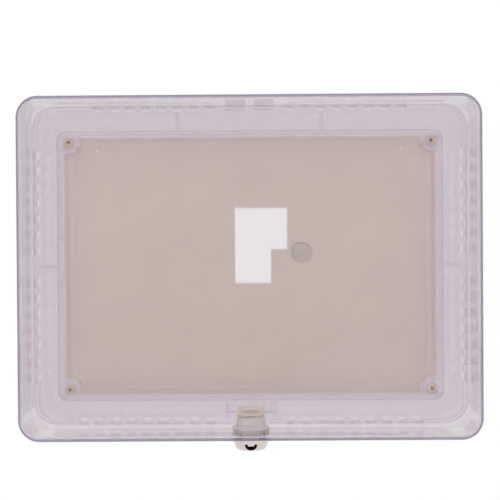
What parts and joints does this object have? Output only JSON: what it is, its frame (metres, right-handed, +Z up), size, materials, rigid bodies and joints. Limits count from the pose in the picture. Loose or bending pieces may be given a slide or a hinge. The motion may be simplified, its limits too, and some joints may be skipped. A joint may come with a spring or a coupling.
{
  "type": "thermostat guard",
  "caption": "Clear lockable box that guards a wall thermostat: slotted ring base, beige wall plate with a wire opening, and a deep cover that hooks on at the top and locks at the bottom.",
  "frame": {"origin": "on the wall plane, at the middle of the wall plate", "axes": "+X to the right as seen from the front, +Y into the wall, +Z up; the cover faces -Y"},
  "size_m": [0.3024, 0.079, 0.2339],
  "materials": {
    "clear_plastic": "clear, smooth moulded, faint lavender tint",
    "clear_base_plastic": "clear, moulded",
    "beige_plastic": "fine moulded grain",
    "yellow_zinc": "yellow zinc plated steel",
    "nickel": "bright nickel plated",
    "cam_plating": "tan chromate plated steel",
    "wafer_brass": "stamped brass",
    "spring_steel": "dull spring steel"
  },
  "bodies": {
    "base": {"ring_base": "clear_base_plastic", "wall_plate": "beige_plastic", "corner_screw_1": "yellow_zinc", "corner_screw_2": "yellow_zinc", "corner_screw_3": "yellow_zinc", "corner_screw_4": "yellow_zinc"},
    "cover": {"cover": "clear_plastic", "lock_housing": "nickel", "lock_nut": "nickel", "lock_washer": "spring_steel"},
    "plug": {"lock_plug": "nickel", "lock_cam": "cam_plating", "cam_washer": "spring_steel", "cam_screw": "nickel", "plug_clip": "spring_steel"},
    "wafer_1": {"wafer_1": "wafer_brass"},
    "wafer_2": {"wafer_2": "wafer_brass"},
    "wafer_3": {"wafer_3": "wafer_brass"},
    "wafer_4": {"wafer_4": "wafer_brass"},
    "wafer_5": {"wafer_5": "wafer_brass"}
  },
  "joints": [
    {"name": "cover_swing", "type": "hinge", "parent": "base", "child": "cover", "pos_m": [0, -0.004, 0.11019], "axis": [-1, 0, 0], "range_deg": [0, 45]},
    {"name": "plug_turn", "type": "hinge", "parent": "cover", "child": "plug", "pos_m": [0, -0.045, -0.1], "axis": [0, 0, 1], "range_deg": [0, 90]},
    {"name": "wafer_1_slide", "type": "slide", "parent": "plug", "child": "wafer_1", "axis": [-1, 0, 0], "range_m": [0, 0.0006]},
    {"name": "wafer_2_slide", "type": "slide", "parent": "plug", "child": "wafer_2", "axis": [-1, 0, 0], "range_m": [0, 0.0006]},
    {"name": "wafer_3_slide", "type": "slide", "parent": "plug", "child": "wafer_3", "axis": [-1, 0, 0], "range_m": [0, 0.0006]},
    {"name": "wafer_4_slide", "type": "slide", "parent": "plug", "child": "wafer_4", "axis": [-1, 0, 0], "range_m": [0, 0.0006]},
    {"name": "wafer_5_slide", "type": "slide", "parent": "plug", "child": "wafer_5", "axis": [-1, 0, 0], "range_m": [0, 0.0006]}
  ]
}
